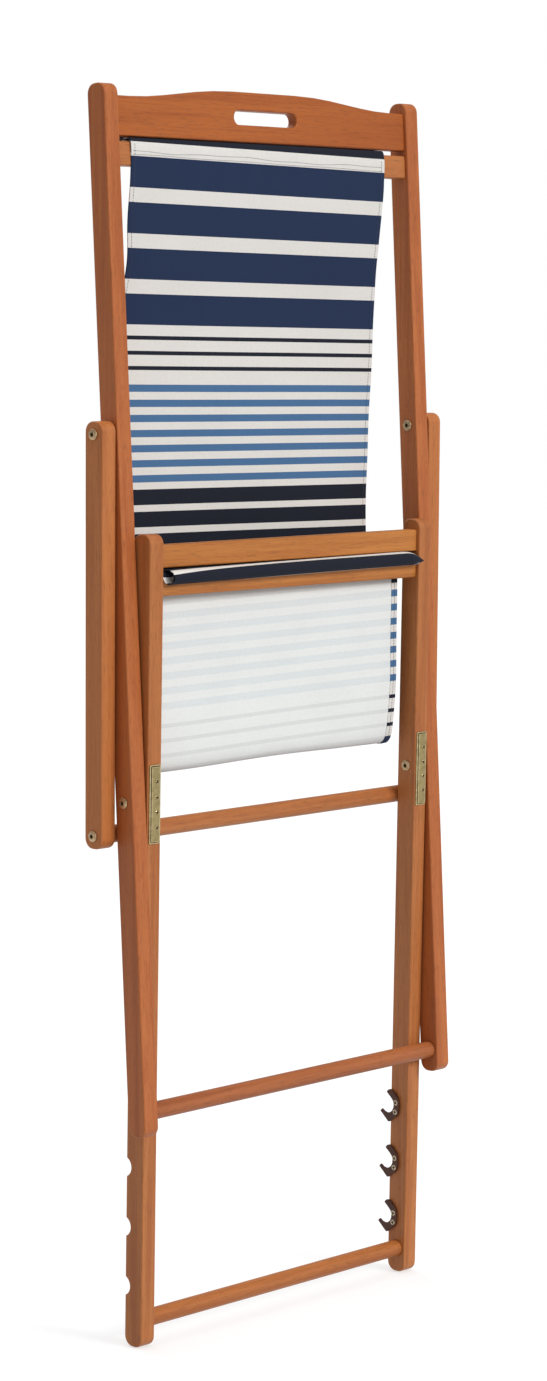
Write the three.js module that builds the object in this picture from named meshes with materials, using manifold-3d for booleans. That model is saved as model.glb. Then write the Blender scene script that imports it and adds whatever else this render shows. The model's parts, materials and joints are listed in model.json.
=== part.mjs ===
// A folding deckchair, folded up and standing on the feet of its seat frame.
//
// Three hardwood frames turn on each other: the seat frame (innermost), the back frame
// (outside it) and the prop frame (outermost). A striped canvas sling hangs from the head
// of the back frame to the knee end of the seat frame. Opened, the prop frame's dowel
// drops into one of three pairs of hooks on the seat frame's legs.
//
// Millimetres. X runs across the chair, Y points to its rear, Z is up. The origin is on
// the floor, in the middle of the chair's box.

import * as THREE from 'three';
import { mergeVertices } from 'three/addons/utils/BufferGeometryUtils.js';
import Module from 'manifold-3d';

const wasm = await Module();
wasm.setup();

// ---- driving dimensions ----

const GAP = 0.3; // clearance left between touching pieces
const FOLDED_CLEARANCE = 1.8; // between the seat posts and the dowel that stops the folding

const POST = { width: 20, depth: 26.5, endRadius: 11, edgeRadius: 1.8 };
const SIDE_GAP = 2; // between the posts of neighbouring frames
const SEAT_INNER_X = 200; // inner faces of the seat frame's posts
const BACK_INNER_X = SEAT_INNER_X + POST.width + SIDE_GAP;
const ARM_INNER_X = BACK_INNER_X + POST.width + SIDE_GAP;

const SEAT = { foot: -597, top: 283.5, dowelZ: -569, lean: 1.3 }; // heights from the main pivot
const BACK = { foot: -358, top: 754, dowelZ: -332.5 };
const PROP = { pivotOnBack: 389, dowelZ: -424, endBeyondHole: 13.8 };

const DOWEL_RADIUS = 9.5;
const MORTISE_DEPTH = 12;
const RAIL = { thickness: 14, edgeRadius: 2, slingGap: 5.5, slatHeight: 24.5 };
const HEAD_RAIL = { bottomZ: 699.6, shoulderHeight: 42, crownHeight: 54, setBack: 4 };
const HANDLE_SLOT = { halfLength: 48, height: 15.5, z: 726 };
const SLING_RAIL_HEIGHT = 25.5;
const KNEE = { bottomZ: 217.3, setBack: 4.5 };

const HOOK = { seatY: 16.2, heights: [197.5, 131.5, 66], radius: 10.5, thickness: 3.2 };
const NOTCH_RADIUS = 11; // of the hollows behind the hooks, in the posts' rear faces
const HOOK_SCREWS = [[-13.6, 3.6], [-13, -7.6]]; // from the centre of the hook's seat

const BOLT = { headRadius: 6, headHeight: 2.4, shankRadius: 3, socketRadius: 1.9 };
const NUT = { headRadius: 6.5, headHeight: 2, sleeveRadius: 4.2 };
const PLATE = { height: 85, width: 16, thickness: 1.1, rise: 1.3, centreZ: -2.6 };
const PLATE_SCREW_Z = [22, 5, -11, -27.5];
const SCREW = { headRadius: 3, headHeight: 1.8, shankRadius: 1.5 };

const SLING = { width: 386, centreX: -6, thickness: 1.6 };
const ROD = { radius: 4, sleeve: 5.2 };
const HEAD_ROD = { y: 11.4, z: 696.9, halfLength: 190 };
const KNEE_ROD = { y: -15.4, z: 236.5, left: -190, right: 199 };

// ---- rest angles, in degrees ----

const deg = THREE.MathUtils.degToRad;

// Folded, the back frame's foot dowel stands just in front of the seat posts.
const stopOffset = POST.depth / 2 + DOWEL_RADIUS + FOLDED_CLEARANCE;
const foldedAngle = THREE.MathUtils.radToDeg(Math.asin(stopOffset / -BACK.dowelZ));
const backLean = SEAT.lean - foldedAngle;
const propLean = 0.55;

// ---- materials ----

const finish = (color, roughness, metalness = 0) =>
  new THREE.MeshStandardMaterial({ color, roughness, metalness });
const HARDWOOD = () => finish(0xb5683a, 0.55);
const SLAT_WOOD = () => finish(0xc07a3c, 0.55);
const DARK_CLIP = () => finish(0x3f2622, 0.5);
const ANTIQUE_BRASS = () => finish(0x9c8a5c, 0.4, 0.9);
const BRASS_SCREW = () => finish(0xb8a890, 0.35, 0.9);
const STEEL = () => finish(0x9a9a98, 0.4, 0.9);
const CANVAS = () => finish(0x2b3a5c, 0.9);

// ---- solids: join and cut ----

function toSolid(geometry) {
  const plain = geometry.clone();
  plain.deleteAttribute('normal');
  plain.deleteAttribute('uv');
  const merged = mergeVertices(plain.index ? plain.toNonIndexed() : plain, 1e-4);
  return new wasm.Manifold(new wasm.Mesh({
    numProp: 3,
    vertProperties: new Float32Array(merged.attributes.position.array),
    triVerts: new Uint32Array(merged.index.array),
  }));
}

function toGeometry(solid) {
  const mesh = solid.getMesh();
  const geometry = new THREE.BufferGeometry();
  geometry.setAttribute('position', new THREE.BufferAttribute(mesh.vertProperties, 3));
  geometry.setIndex(new THREE.BufferAttribute(mesh.triVerts, 1));
  return geometry;
}

function cut(geometry, tools) {
  return toGeometry(tools.reduce((solid, tool) => solid.subtract(toSolid(tool)), toSolid(geometry)));
}

function join(geometries) {
  return toGeometry(geometries.map(toSolid).reduce((a, b) => a.add(b)));
}

function keepInside(geometry, box) {
  return toGeometry(toSolid(geometry).intersect(toSolid(box)));
}

// ---- basic shapes ----

function box(x0, x1, y0, y1, z0, z1) {
  const geometry = new THREE.BoxGeometry(x1 - x0, y1 - y0, z1 - z0);
  return geometry.translate((x0 + x1) / 2, (y0 + y1) / 2, (z0 + z1) / 2);
}

// A round bar along X.
function barX(radius, x0, x1, y, z, sides = 12) {
  const geometry = new THREE.CylinderGeometry(radius, radius, Math.abs(x1 - x0), sides);
  return geometry.rotateZ(Math.PI / 2).translate((x0 + x1) / 2, y, z);
}

// A turned piece whose axis runs along +X from the origin; profile is [radius, distance].
function turnedX(profile, sides = 16) {
  const points = profile.map(([r, d]) => new THREE.Vector2(r, d));
  return new THREE.LatheGeometry(points, sides).rotateZ(-Math.PI / 2);
}

function roundedRectangle(x0, x1, y0, y1, r) {
  const shape = new THREE.Shape();
  shape.moveTo(x0 + r, y0);
  shape.lineTo(x1 - r, y0);
  shape.absarc(x1 - r, y0 + r, r, -Math.PI / 2, 0);
  shape.lineTo(x1, y1 - r);
  shape.absarc(x1 - r, y1 - r, r, 0, Math.PI / 2);
  shape.lineTo(x0 + r, y1);
  shape.absarc(x0 + r, y1 - r, r, Math.PI / 2, Math.PI);
  shape.lineTo(x0, y0 + r);
  shape.absarc(x0 + r, y0 + r, r, Math.PI, Math.PI * 1.5);
  return shape;
}

// Extrude an outline and round its edges by edgeRadius, without growing the outline.
function extrudeSoft(shape, depth, edgeRadius, curveSegments = 3, bevelSegments = 3) {
  return new THREE.ExtrudeGeometry(shape, {
    depth: depth - 2 * edgeRadius,
    bevelEnabled: true,
    bevelThickness: edgeRadius,
    bevelSize: edgeRadius,
    bevelOffset: -edgeRadius,
    bevelSegments,
    curveSegments,
  }).translate(0, 0, edgeRadius);
}

// Lay an extrusion so that its outline is in Y (first) and Z (second), and it runs along +X.
function standAlongX(geometry) {
  return geometry.rotateY(Math.PI / 2).rotateX(Math.PI / 2);
}

// Lay an extrusion so that its outline is in X and Z, and it runs along +Y from y.
function standAlongY(geometry, depth, y) {
  return geometry.rotateX(Math.PI / 2).translate(0, depth + y, 0);
}

// The same piece for the chair's other side: mirrored in X, its faces turned out again.
function mirrored(geometry, side) {
  return side > 0 ? geometry : toGeometry(toSolid(geometry).mirror([1, 0, 0]));
}

// ---- the scene graph ----

const chair = new THREE.Group();
const seatFrame = new THREE.Group();
const backFrame = new THREE.Group();
const propFrame = new THREE.Group();
seatFrame.rotation.x = deg(SEAT.lean);
backFrame.rotation.x = deg(backLean);
propFrame.position.set(
  0,
  PROP.pivotOnBack * -Math.sin(deg(backLean)),
  PROP.pivotOnBack * Math.cos(deg(backLean)),
);
propFrame.rotation.x = deg(propLean);
chair.add(seatFrame, backFrame, propFrame);

function addPiece(group, name, geometry, material) {
  geometry.deleteAttribute('uv');
  geometry.computeVertexNormals();
  const mesh = new THREE.Mesh(geometry, material);
  mesh.name = name;
  group.add(mesh);
}

const SIDES = [['left', -1], ['right', 1]];

// ---- posts ----

// A post from innerX outwards, with rounded ends and softened edges.
function post(innerX, bottomZ, topZ) {
  const half = POST.depth / 2;
  const outline = roundedRectangle(-half, half, bottomZ, topZ, POST.endRadius);
  const bar = extrudeSoft(outline, POST.width, POST.edgeRadius);
  return standAlongX(bar).translate(innerX, 0, 0);
}

// The pocket in a post's inner face for a rail's tenon.
function mortise(innerX, y0, y1, z0, z1) {
  return box(innerX - 1, innerX + MORTISE_DEPTH + GAP, y0 - GAP, y1 + GAP, z0 - GAP, z1 + GAP);
}

function dowelSocket(innerX, z) {
  return barX(DOWEL_RADIUS + GAP, innerX - 1, innerX + MORTISE_DEPTH + GAP, 0, z, 20);
}

// A tenon is as thick as the middle of its rail and a little lower than the rail.
const tenon = (setBack, bottomZ, height) => ({
  y0: -POST.depth / 2 + setBack + 3,
  y1: -POST.depth / 2 + setBack + RAIL.thickness - 3,
  z0: bottomZ + 4,
  z1: bottomZ + height - 4,
});

const HEAD_TENON = tenon(HEAD_RAIL.setBack, HEAD_RAIL.bottomZ, HEAD_RAIL.shoulderHeight);
const slingRailBottom = HEAD_RAIL.bottomZ - RAIL.slingGap - SLING_RAIL_HEIGHT;
const SLING_TENON = tenon(HEAD_RAIL.setBack, slingRailBottom, SLING_RAIL_HEIGHT);
const upperSlatBottom = KNEE.bottomZ + RAIL.slatHeight + RAIL.slingGap;
const LOWER_SLAT_TENON = tenon(KNEE.setBack, KNEE.bottomZ, RAIL.slatHeight);
const UPPER_SLAT_TENON = tenon(KNEE.setBack, upperSlatBottom, RAIL.slatHeight);

const mortiseFor = (innerX, t) => mortise(innerX, t.y0, t.y1, t.z0, t.z1);
const hookHeight = (index) => SEAT.foot + HOOK.heights[index];

function seatPost() {
  const outerX = SEAT_INNER_X + POST.width;
  const notches = HOOK.heights.map((_, i) =>
    barX(NOTCH_RADIUS, SEAT_INNER_X - 1, outerX + 1, HOOK.seatY, hookHeight(i), 24));
  const hookPilots = HOOK.heights.flatMap((_, i) => HOOK_SCREWS.map(([y, z]) =>
    barX(SCREW.shankRadius + GAP, SEAT_INNER_X - 1, SEAT_INNER_X + 11, HOOK.seatY + y, hookHeight(i) + z, 6)));
  const platePilots = PLATE_SCREW_Z.map((z) => new THREE.CylinderGeometry(
    SCREW.shankRadius + GAP, SCREW.shankRadius + GAP, 9, 6,
  ).translate(SEAT_INNER_X + POST.width / 2, -POST.depth / 2 + 3.5, z));
  return cut(post(SEAT_INNER_X, SEAT.foot, SEAT.top), [
    barX(NUT.sleeveRadius + GAP, SEAT_INNER_X - 1, outerX + 1, 0, 0),
    dowelSocket(SEAT_INNER_X, SEAT.dowelZ),
    mortiseFor(SEAT_INNER_X, LOWER_SLAT_TENON),
    mortiseFor(SEAT_INNER_X, UPPER_SLAT_TENON),
    ...notches,
    ...hookPilots,
    ...platePilots,
  ]);
}

function backPost() {
  const outerX = BACK_INNER_X + POST.width;
  return cut(post(BACK_INNER_X, BACK.foot, BACK.top), [
    barX(BOLT.shankRadius + GAP, BACK_INNER_X - 1, outerX + 1, 0, 0),
    barX(NUT.sleeveRadius + GAP, BACK_INNER_X - 1, outerX + 1, 0, PROP.pivotOnBack),
    dowelSocket(BACK_INNER_X, BACK.dowelZ),
    mortiseFor(BACK_INNER_X, HEAD_TENON),
    mortiseFor(BACK_INNER_X, SLING_TENON),
  ]);
}

function propArm() {
  const holes = [0, PROP.dowelZ].map((z) =>
    barX(BOLT.shankRadius + GAP, ARM_INNER_X - 1, ARM_INNER_X + POST.width + 1, 0, z));
  const arm = post(ARM_INNER_X, PROP.dowelZ - PROP.endBeyondHole, PROP.endBeyondHole);
  return cut(arm, holes);
}

// ---- rails, slats and dowels ----

// Trim a rail to the clear width between two posts and add its two tenons.
function withTenons(bar, innerX, t) {
  const end = innerX - GAP;
  const trimmed = keepInside(bar, box(-end, end, -50, 50, t.z0 - 100, t.z1 + 100));
  const tenonBar = box(-end - MORTISE_DEPTH, end + MORTISE_DEPTH, t.y0, t.y1, t.z0, t.z1);
  const ends = cut(tenonBar, [box(-end + 1, end - 1, -50, 50, t.z0 - 1, t.z1 + 1)]);
  return join([trimmed, ends]);
}

function plainRail(innerX, setBack, bottomZ, height, t) {
  const beyond = innerX + 5;
  const top = bottomZ + height;
  const corners = [[-beyond, bottomZ], [beyond, bottomZ], [beyond, top], [-beyond, top]];
  const outline = new THREE.Shape(corners.map(([x, z]) => new THREE.Vector2(x, z)));
  const bar = extrudeSoft(outline, RAIL.thickness, RAIL.edgeRadius, 1, 2);
  return withTenons(standAlongY(bar, RAIL.thickness, -POST.depth / 2 + setBack), innerX, t);
}

// The head rail's top edge rises in a soft wave to a flat crown over the handle slot.
function headRail() {
  const beyond = BACK_INNER_X + 5;
  const base = HEAD_RAIL.bottomZ;
  const shoulder = base + HEAD_RAIL.shoulderHeight;
  const crown = base + HEAD_RAIL.crownHeight;
  const crownHalf = 48;
  const shoulderStart = 200;
  const outline = new THREE.Shape();
  outline.moveTo(-beyond, base);
  outline.lineTo(beyond, base);
  outline.lineTo(beyond, shoulder);
  outline.lineTo(shoulderStart, shoulder);
  outline.bezierCurveTo(150, shoulder, 110, crown, crownHalf, crown);
  outline.lineTo(-crownHalf, crown);
  outline.bezierCurveTo(-110, crown, -150, shoulder, -shoulderStart, shoulder);
  outline.lineTo(-beyond, shoulder);
  const slotRadius = HANDLE_SLOT.height / 2;
  const arcCentre = HANDLE_SLOT.halfLength - slotRadius;
  const slot = new THREE.Path();
  slot.absarc(arcCentre, HANDLE_SLOT.z, slotRadius, -Math.PI / 2, Math.PI / 2);
  slot.absarc(-arcCentre, HANDLE_SLOT.z, slotRadius, Math.PI / 2, Math.PI * 1.5);
  outline.holes.push(slot);
  const bar = extrudeSoft(outline, RAIL.thickness, RAIL.edgeRadius, 6, 2);
  const placed = standAlongY(bar, RAIL.thickness, -POST.depth / 2 + HEAD_RAIL.setBack);
  return withTenons(placed, BACK_INNER_X, HEAD_TENON);
}

function footDowel(innerX, z) {
  const end = innerX + MORTISE_DEPTH - GAP;
  return barX(DOWEL_RADIUS, -end, end, 0, z, 20);
}

function propDowel() {
  const end = ARM_INNER_X - GAP;
  const boltHoles = [-1, 1].map((side) =>
    barX(BOLT.shankRadius + GAP, side * (end + 1), side * (end - 32), 0, PROP.dowelZ));
  return cut(barX(DOWEL_RADIUS, -end, end, 0, PROP.dowelZ, 20), boltHoles);
}

// ---- hook clips ----

// A C-shaped clip, drawn around the centre of the seat for the prop dowel. Its mouth
// opens to the rear and a little upwards, the way the dowel comes in.
function hookClip(index) {
  const { radius } = HOOK;
  const mouthTop = deg(124);
  const mouthBottom = deg(317);
  const outline = new THREE.Shape();
  outline.moveTo(-1.6, 17.2);
  outline.quadraticCurveTo(-4, 18.4, -6.7, 17.6);
  outline.quadraticCurveTo(-13, 13.6, -16.8, 8.6);
  outline.quadraticCurveTo(-18.9, 0, -17.2, -8.6);
  outline.quadraticCurveTo(-14.6, -14, -10, -15.6);
  outline.lineTo(-4.6, -20.2);
  outline.quadraticCurveTo(-2.8, -21.2, -1.4, -19.8);
  outline.lineTo(10.2, -9.8);
  outline.lineTo(radius * Math.cos(mouthBottom), radius * Math.sin(mouthBottom));
  outline.absarc(0, 0, radius, mouthBottom, mouthTop, true);
  outline.lineTo(0.9, 14.2);
  const plate = extrudeSoft(outline, HOOK.thickness, 0.5, 4, 1);
  const innerX = SEAT_INNER_X - GAP - HOOK.thickness;
  const placed = standAlongX(plate).translate(innerX, HOOK.seatY, hookHeight(index));
  const countersinks = HOOK_SCREWS.map(([y, z]) =>
    screwTool(innerX, HOOK.seatY + y, hookHeight(index) + z));
  return cut(placed, countersinks);
}

// ---- screws, bolts and nuts ----

const screwProfile = (length, grow = 0) => [
  [0, -grow],
  [SCREW.headRadius + grow, -grow],
  [SCREW.headRadius + grow, 0.3],
  [SCREW.shankRadius + grow, SCREW.headHeight + grow],
  [SCREW.shankRadius + grow, length],
  [0, length],
];

function screwTool(x, y, z) {
  return turnedX(screwProfile(12, GAP), 10).translate(x, y, z);
}

// A countersunk wood screw with a square recess in its head; its head is at the origin.
function woodScrew(length) {
  return cut(turnedX(screwProfile(length), 10), [box(-1, 0.9, -1, 1, -1, 1)]);
}

function hexSocket(depth) {
  return new THREE.CylinderGeometry(BOLT.socketRadius, BOLT.socketRadius, depth * 2, 6).rotateZ(Math.PI / 2);
}

// A bolt whose flat round head is outside x = 0 and whose shank runs towards -X.
function bolt(shankLength) {
  const { headRadius, headHeight, shankRadius } = BOLT;
  const body = turnedX([
    [0, -shankLength],
    [shankRadius, -shankLength],
    [shankRadius, 0],
    [headRadius, 0],
    [headRadius, headHeight * 0.5],
    [headRadius * 0.82, headHeight],
    [0, headHeight],
  ]);
  return cut(body, [hexSocket(1.4).translate(headHeight, 0, 0)]);
}

// A barrel nut: a round flange inside x = 0 and a hollow sleeve running towards +X.
function barrelNut(sleeveLength) {
  const { headRadius, headHeight, sleeveRadius } = NUT;
  const body = turnedX([
    [0, -headHeight],
    [headRadius * 0.85, -headHeight],
    [headRadius, -headHeight * 0.5],
    [headRadius, 0],
    [sleeveRadius, 0],
    [sleeveRadius, sleeveLength],
    [0, sleeveLength],
  ]);
  const thread = barX(BOLT.shankRadius + GAP, 4, sleeveLength + 1, 0, 0);
  return cut(body, [thread, hexSocket(1.2).translate(-headHeight, 0, 0)]);
}

function washer() {
  const thickness = SIDE_GAP - 2 * GAP;
  const inner = NUT.sleeveRadius + GAP;
  return turnedX([[inner, 0], [7.5, 0], [7.5, thickness], [inner, thickness], [inner, 0]], 12);
}

// ---- pivot plates ----

// A pressed plate on the front of a seat post, with a raised middle and four screw holes.
function pivotPlate() {
  const { height, width, thickness, rise } = PLATE;
  const rim = extrudeSoft(roundedRectangle(-width / 2, width / 2, -height / 2, height / 2, 2.5), thickness, 0.3, 1, 1);
  const middle = extrudeSoft(
    roundedRectangle(-width / 2 + 2, width / 2 - 2, -height / 2 + 3, height / 2 - 3, 3.5),
    2 * (thickness + rise), thickness + rise - 0.1, 1, 2,
  ).translate(0, 0, -thickness - rise);
  const pressed = keepInside(join([rim, middle]), box(-20, 20, -60, 60, 0, 10));
  const front = -POST.depth / 2 - GAP;
  const holes = PLATE_SCREW_Z.map((z) => new THREE.CylinderGeometry(
    SCREW.headRadius - 0.7, SCREW.headRadius - 0.7, 12, 10,
  ).translate(0, front, z));
  const placed = standAlongY(pressed, 0, front).translate(0, 0, PLATE.centreZ);
  return cut(placed, holes).translate(SEAT_INNER_X + POST.width / 2, 0, 0);
}

// A small round-head screw through a pivot plate, its head at y = 0 and its point at +Y.
function plateScrew() {
  const body = turnedX([[0, 0], [1.6, 0.1], [2, 0.6], [2, 1.6], [1.4, 2], [1.4, 8], [0, 8]], 8);
  return cut(body, [box(-1, 0.7, -0.7, 0.7, -0.7, 0.7)]).rotateZ(Math.PI / 2);
}

// ---- the sling and its rods ----

// A strip of even thickness along a smooth path through points in Y and Z.
function strip(points, x0, x1) {
  const path = new THREE.CatmullRomCurve3(points.map(([y, z]) => new THREE.Vector3(y, z, 0)));
  const centre = path.getPoints((points.length - 1) * 2);
  const half = SLING.thickness / 2;
  const edge = (sign) => centre.map((p, i) => {
    const before = centre[Math.max(i - 1, 0)];
    const after = centre[Math.min(i + 1, centre.length - 1)];
    const along = after.clone().sub(before).normalize();
    return new THREE.Vector2(p.x - sign * half * along.y, p.y + sign * half * along.x);
  });
  const outline = new THREE.Shape([...edge(1), ...edge(-1).reverse()]);
  const geometry = new THREE.ExtrudeGeometry(outline, { depth: x1 - x0, bevelEnabled: false });
  return standAlongX(geometry).translate(x0, 0, 0);
}

const slingLeft = SLING.centreX - SLING.width / 2;
const slingRight = SLING.centreX + SLING.width / 2;

// From the sleeve round the head rod, forward between the two head rails, over the front
// of the sling rail and down behind the knee slats.
function slingBackPanel() {
  const front = -POST.depth / 2 + HEAD_RAIL.setBack - SLING.thickness / 2 - GAP - 0.2;
  const { y, z } = HEAD_ROD;
  const round = (angle) => [y + ROD.sleeve * Math.cos(deg(angle)), z + ROD.sleeve * Math.sin(deg(angle))];
  return strip([
    round(-140), round(-95), round(-45), round(0), round(45), round(95), round(135),
    [4.5, z], [-3, z], [front + 2.5, z - 0.3], [front + 0.2, z - 3.5], [front, z - 8],
    [front, z - 27], [front + 5, z - 52], [4.5, 590], [13, 525], [21.5, 455], [30, 375],
    [36, 300], [40, 235], [42, 180], [42.5, 120],
  ], slingLeft, slingRight);
}

// From the bottom loop, up behind the lower knee slat, forward between the two slats and
// down round the knee rod in front of them.
function slingSeatPanel() {
  const behind = -POST.depth / 2 + KNEE.setBack + RAIL.thickness + SLING.thickness / 2 + GAP + 0.3;
  const slit = KNEE.bottomZ + RAIL.slatHeight + RAIL.slingGap / 2;
  const { y, z } = KNEE_ROD;
  const round = (angle) => [y + ROD.sleeve * Math.cos(deg(angle)), z + ROD.sleeve * Math.sin(deg(angle))];
  return strip([
    [37, 42], [32, 31], [24, 25], [15.5, 27.5], [9.5, 37], [behind, 55], [behind - 1, 100],
    [behind - 1, 160], [behind, 215], [behind, slit - 5], [behind - 1.6, slit - 0.8],
    [behind - 5, slit], [-4, slit], round(70), round(110), round(160), round(205), round(250), round(290),
  ], slingLeft + 3, slingRight - 2);
}

function rod(y, z, x0, x1) {
  const tip = 6;
  const length = x1 - x0;
  const profile = [[0, 0], [2, 0], [ROD.radius, tip], [ROD.radius, length - tip], [2, length], [0, length]];
  return turnedX(profile, 10).translate(x0, y, z);
}

// ---- assembly: seat frame ----

for (const [name, side] of SIDES) {
  addPiece(seatFrame, `seat_post_${name}`, mirrored(seatPost(), side), HARDWOOD());
}
addPiece(
  seatFrame, 'knee_slat_lower',
  plainRail(SEAT_INNER_X, KNEE.setBack, KNEE.bottomZ, RAIL.slatHeight, LOWER_SLAT_TENON), SLAT_WOOD(),
);
addPiece(
  seatFrame, 'knee_slat_upper',
  plainRail(SEAT_INNER_X, KNEE.setBack, upperSlatBottom, RAIL.slatHeight, UPPER_SLAT_TENON), SLAT_WOOD(),
);
addPiece(seatFrame, 'seat_foot_dowel', footDowel(SEAT_INNER_X, SEAT.dowelZ), HARDWOOD());

for (const [name, side] of SIDES) {
  HOOK.heights.forEach((_, i) => {
    addPiece(seatFrame, `hook_${name}_${i + 1}`, mirrored(hookClip(i), side), DARK_CLIP());
    HOOK_SCREWS.forEach(([y, z], n) => {
      const innerX = SEAT_INNER_X - GAP - HOOK.thickness;
      const screw = woodScrew(11).translate(innerX, HOOK.seatY + y, hookHeight(i) + z);
      addPiece(seatFrame, `hook_screw_${name}_${i + 1}_${n + 1}`, mirrored(screw, side), BRASS_SCREW());
    });
  });
  addPiece(seatFrame, `pivot_plate_${name}`, mirrored(pivotPlate(), side), ANTIQUE_BRASS());
  PLATE_SCREW_Z.forEach((z, n) => {
    const headY = -POST.depth / 2 - GAP - PLATE.thickness - PLATE.rise;
    const screw = plateScrew().translate(SEAT_INNER_X + POST.width / 2, headY, z);
    addPiece(seatFrame, `plate_screw_${name}_${n + 1}`, mirrored(screw, side), BRASS_SCREW());
  });
}
addPiece(seatFrame, 'knee_rod', rod(KNEE_ROD.y, KNEE_ROD.z, KNEE_ROD.left, KNEE_ROD.right), STEEL());
addPiece(seatFrame, 'sling_seat_panel', slingSeatPanel(), CANVAS());

// ---- assembly: back frame ----

for (const [name, side] of SIDES) {
  addPiece(backFrame, `back_post_${name}`, mirrored(backPost(), side), HARDWOOD());
  const outerX = BACK_INNER_X + POST.width + GAP;
  const pivotBolt = bolt(POST.width + SIDE_GAP + 14).translate(outerX, 0, 0);
  addPiece(backFrame, `main_pivot_bolt_${name}`, mirrored(pivotBolt, side), ANTIQUE_BRASS());
  const pivotNut = barrelNut(POST.width - 1).translate(SEAT_INNER_X - GAP, 0, 0);
  addPiece(backFrame, `main_pivot_nut_${name}`, mirrored(pivotNut, side), ANTIQUE_BRASS());
  const pivotWasher = washer().translate(SEAT_INNER_X + POST.width + GAP, 0, 0);
  addPiece(backFrame, `main_pivot_washer_${name}`, mirrored(pivotWasher, side), STEEL());
  const armOuterX = ARM_INNER_X + POST.width + GAP;
  const propBolt = bolt(POST.width + SIDE_GAP + 14).translate(armOuterX, 0, PROP.pivotOnBack);
  addPiece(backFrame, `prop_pivot_bolt_${name}`, mirrored(propBolt, side), ANTIQUE_BRASS());
  const propNut = barrelNut(POST.width - 1).translate(BACK_INNER_X - GAP, 0, PROP.pivotOnBack);
  addPiece(backFrame, `prop_pivot_nut_${name}`, mirrored(propNut, side), ANTIQUE_BRASS());
  const propWasher = washer().translate(BACK_INNER_X + POST.width + GAP, 0, PROP.pivotOnBack);
  addPiece(backFrame, `prop_pivot_washer_${name}`, mirrored(propWasher, side), STEEL());
}
addPiece(backFrame, 'head_rail', headRail(), HARDWOOD());
addPiece(
  backFrame, 'sling_rail',
  plainRail(BACK_INNER_X, HEAD_RAIL.setBack, slingRailBottom, SLING_RAIL_HEIGHT, SLING_TENON), SLAT_WOOD(),
);
addPiece(backFrame, 'back_foot_dowel', footDowel(BACK_INNER_X, BACK.dowelZ), HARDWOOD());
addPiece(
  backFrame, 'head_rod',
  rod(HEAD_ROD.y, HEAD_ROD.z, SLING.centreX - HEAD_ROD.halfLength, SLING.centreX + HEAD_ROD.halfLength), STEEL(),
);
addPiece(backFrame, 'sling_back_panel', slingBackPanel(), CANVAS());

// ---- assembly: prop frame ----

for (const [name, side] of SIDES) {
  addPiece(propFrame, `prop_arm_${name}`, mirrored(propArm(), side), HARDWOOD());
  const armOuterX = ARM_INNER_X + POST.width + GAP;
  const dowelBolt = bolt(POST.width + 26).translate(armOuterX, 0, PROP.dowelZ);
  addPiece(propFrame, `prop_dowel_bolt_${name}`, mirrored(dowelBolt, side), ANTIQUE_BRASS());
}
addPiece(propFrame, 'prop_dowel', propDowel(), HARDWOOD());

// ---- stand the chair on the floor, in the middle of its box ----

const extent = new THREE.Box3().setFromObject(chair, true);
chair.position.set(0, -(extent.min.y + extent.max.y) / 2, -extent.min.z);
chair.updateMatrixWorld(true);

export default chair;
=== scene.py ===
"""The looks of a folding deckchair: oiled hardwood, a striped canvas sling and brass fittings.

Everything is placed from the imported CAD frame, in metres. X runs across the chair, Y points to
its rear and Z is up. The sling is one strip of canvas: "along" is the distance along it from the
top of its head hem, so its hidden head sleeve has negative values and its knee end the largest.
"""

import json
import math

import bmesh
import bpy
import numpy as np
from mathutils import Matrix, Vector


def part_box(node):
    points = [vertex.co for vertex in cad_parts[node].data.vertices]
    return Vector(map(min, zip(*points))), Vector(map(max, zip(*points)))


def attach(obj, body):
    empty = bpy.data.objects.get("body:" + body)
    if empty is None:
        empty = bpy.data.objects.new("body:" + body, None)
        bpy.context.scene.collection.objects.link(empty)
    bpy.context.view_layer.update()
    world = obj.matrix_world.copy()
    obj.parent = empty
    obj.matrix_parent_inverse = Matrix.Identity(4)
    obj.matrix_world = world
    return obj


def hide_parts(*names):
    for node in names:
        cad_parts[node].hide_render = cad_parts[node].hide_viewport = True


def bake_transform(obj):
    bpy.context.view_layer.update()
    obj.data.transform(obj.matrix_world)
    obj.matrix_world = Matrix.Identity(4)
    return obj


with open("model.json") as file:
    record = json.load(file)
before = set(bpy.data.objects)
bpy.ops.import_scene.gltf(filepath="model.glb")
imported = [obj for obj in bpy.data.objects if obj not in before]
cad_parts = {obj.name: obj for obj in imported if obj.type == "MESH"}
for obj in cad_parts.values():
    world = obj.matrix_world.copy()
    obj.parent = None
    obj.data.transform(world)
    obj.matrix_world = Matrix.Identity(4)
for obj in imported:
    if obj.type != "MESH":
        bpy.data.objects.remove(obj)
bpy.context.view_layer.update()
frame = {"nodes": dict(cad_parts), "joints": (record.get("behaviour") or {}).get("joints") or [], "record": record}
MM = 0.001
PIVOT = Vector(frame["joints"][0]["pos_m"])
PROP_PIVOT = Vector(frame["joints"][1]["pos_m"])

# ---- the camera ----

CAMERA_PLACE = (-2.6633, -2.6218, 1.0931)
CAMERA_YAW = 45.39  # degrees from +Y towards +X
CAMERA_PITCH = 6.04  # degrees below the horizon
CAMERA_LENS = 88.63  # for a 36 mm sensor along the picture's long side


def make_camera():
    data = bpy.data.cameras.new("camera")
    data.sensor_fit = "VERTICAL"
    data.sensor_height = 36
    data.sensor_width = 36
    data.lens = CAMERA_LENS
    data.clip_start = 0.1
    data.clip_end = 60
    camera = bpy.data.objects.new("camera", data)
    camera.location = CAMERA_PLACE
    camera.rotation_euler = (math.radians(90 - CAMERA_PITCH), 0, math.radians(-CAMERA_YAW))
    bpy.context.scene.collection.objects.link(camera)
    bpy.context.scene.camera = camera


make_camera()

# ---- node helpers ----


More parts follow.
